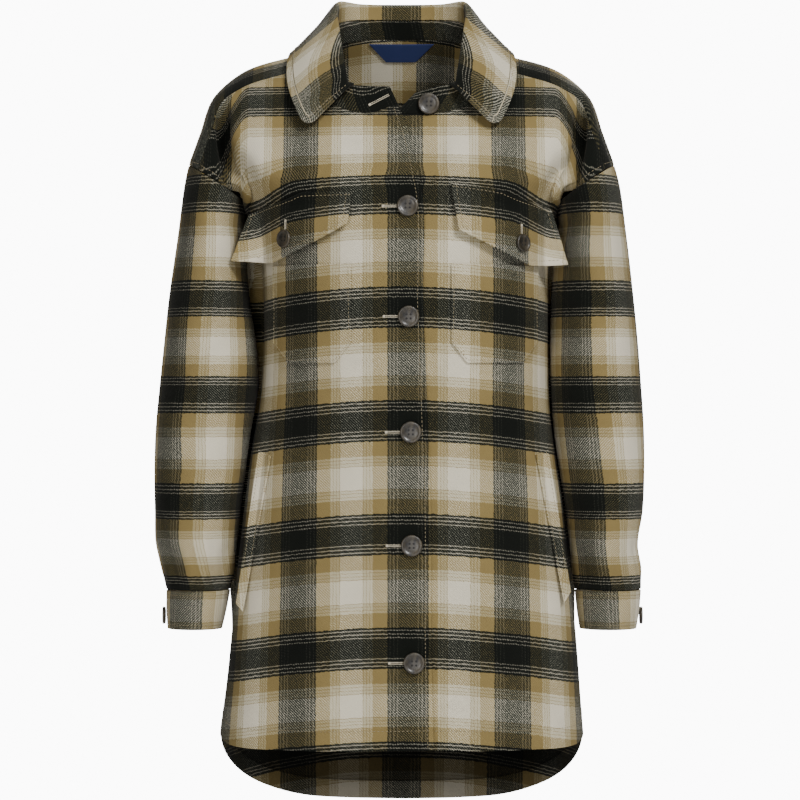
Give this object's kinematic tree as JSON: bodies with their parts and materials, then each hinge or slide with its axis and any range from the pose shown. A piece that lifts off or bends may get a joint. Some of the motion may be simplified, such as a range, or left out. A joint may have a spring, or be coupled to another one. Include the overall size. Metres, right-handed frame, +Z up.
{
  "type": "shirt jacket",
  "caption": "Thigh-length checked flannel shirt jacket as worn by nobody: hollow body, spread collar, yoke, buttoned front, flap chest pockets, slanted welts and cuffed sleeves",
  "frame": {"origin": "between the wearer's shoulders at the foot of the neck, where the wearer holds the garment up", "axes": "+Z up, the front faces -Y, +X to the wearer's left"},
  "size_m": [0.5144, 0.2836, 0.8585],
  "materials": {
    "flannel": "brushed twill flannel in a large check",
    "button_horn": "polished horn look",
    "label_cloth": "plain woven, bare"
  },
  "bodies": {
    "root": {"front_right": "flannel", "front_left": "flannel", "back": "flannel", "yoke": "flannel", "collar_stand": "flannel", "collar": "flannel", "sleeve_right": "flannel", "sleeve_left": "flannel", "cuff_right": "flannel", "cuff_left": "flannel", "chest_pocket_right": "flannel", "chest_pocket_left": "flannel", "pocket_flap_right": "flannel", "pocket_flap_left": "flannel", "pocket_welt_right": "flannel", "pocket_welt_left": "flannel", "flap_button_right": "button_horn", "flap_button_left": "button_horn", "front_button_1": "button_horn", "front_button_2": "button_horn", "front_button_3": "button_horn", "front_button_4": "button_horn", "front_button_5": "button_horn", "neck_button": "button_horn", "cuff_button_right": "button_horn", "cuff_button_left": "button_horn", "neck_label": "label_cloth"}
  },
  "joints": []
}
